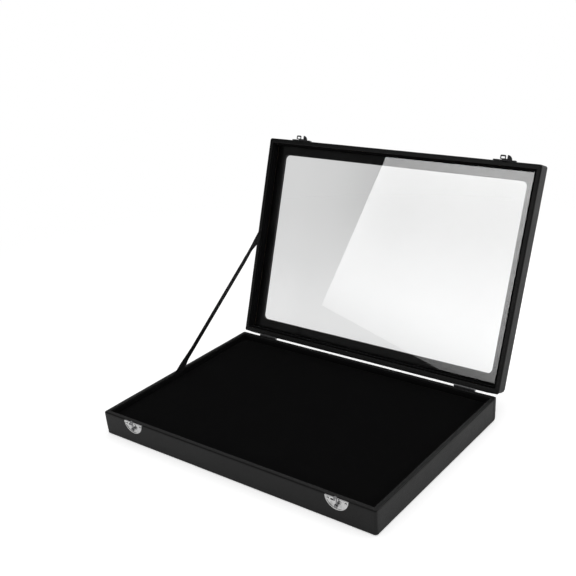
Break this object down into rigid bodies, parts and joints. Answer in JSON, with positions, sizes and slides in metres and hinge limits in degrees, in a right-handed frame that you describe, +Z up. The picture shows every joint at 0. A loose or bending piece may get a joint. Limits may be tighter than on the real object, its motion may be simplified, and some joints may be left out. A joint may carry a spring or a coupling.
{
  "type": "pin display case",
  "caption": "Shallow leather-covered display case with a black velvet pad, a hinged lid with a clear window, half-moon latches and a ribbon stay.",
  "frame": {"origin": "middle of the base's underside, on the surface that the case stands on", "axes": "+X to the right along the case's long side, +Y to the hinges at the back, +Z up; the case is stored with its lid open on its stay"},
  "size_m": [0.35, 0.3433, 0.2618],
  "materials": {
    "black_leather": "satin",
    "underside_paper": "matte",
    "board": "matte",
    "lining_velvet": "matte",
    "pad_velvet": "matte",
    "foam": "matte",
    "pane": "polished",
    "ribbon": "satin",
    "hinge_metal": "satin",
    "latch_metal": "polished",
    "catch_metal": "polished"
  },
  "bodies": {
    "base": {"base_floor_board": "board", "base_leather_cover": "black_leather", "base_lining_back": "lining_velvet", "base_lining_front": "lining_velvet", "base_lining_left": "lining_velvet", "base_lining_right": "lining_velvet", "base_underside_sheet": "underside_paper", "base_wall_back": "board", "base_wall_front": "board", "base_wall_left": "board", "base_wall_right": "board", "hinge_base_leaf_left": "hinge_metal", "hinge_base_leaf_right": "hinge_metal", "hinge_base_nails": "hinge_metal", "hinge_pin_left": "hinge_metal", "hinge_pin_right": "hinge_metal", "latch_plate_left": "latch_metal", "latch_plate_nails": "latch_metal", "latch_plate_right": "latch_metal", "latch_rivet_left": "latch_metal", "latch_rivet_right": "latch_metal", "pad_backing_board": "board", "pad_foam_core": "foam", "pad_velvet_cover": "pad_velvet", "ribbon_stay": "ribbon"},
    "lid": {"catch_plate_left": "catch_metal", "catch_plate_nails": "catch_metal", "catch_plate_right": "catch_metal", "hinge_lid_leaf_left": "hinge_metal", "hinge_lid_leaf_right": "hinge_metal", "hinge_lid_nails": "hinge_metal", "lid_frame_board": "board", "lid_leather_cover": "black_leather", "lid_lining_back": "lining_velvet", "lid_lining_front": "lining_velvet", "lid_lining_left": "lining_velvet", "lid_lining_right": "lining_velvet", "lid_wall_back": "board", "lid_wall_front": "board", "lid_wall_left": "board", "lid_wall_right": "board", "window_pane": "pane"},
    "latch_hook_left": {"latch_hook_left": "latch_metal"},
    "latch_hook_right": {"latch_hook_right": "latch_metal"}
  },
  "joints": [
    {"name": "lid_hinge", "type": "hinge", "parent": "base", "child": "lid", "pos_m": [0, 0.1217, 0.02745], "axis": [1, 0, 0], "range_deg": [0, 109.7], "deforming": ["ribbon_stay"]},
    {"name": "hook_turn_left", "type": "hinge", "parent": "base", "child": "latch_hook_left", "pos_m": [-0.1278, -0.1228, 0.02005], "axis": [0, -1, 0], "range_deg": [0, 20]},
    {"name": "hook_turn_right", "type": "hinge", "parent": "base", "child": "latch_hook_right", "pos_m": [0.1342, -0.1228, 0.02005], "axis": [0, -1, 0], "range_deg": [0, 20]}
  ]
}
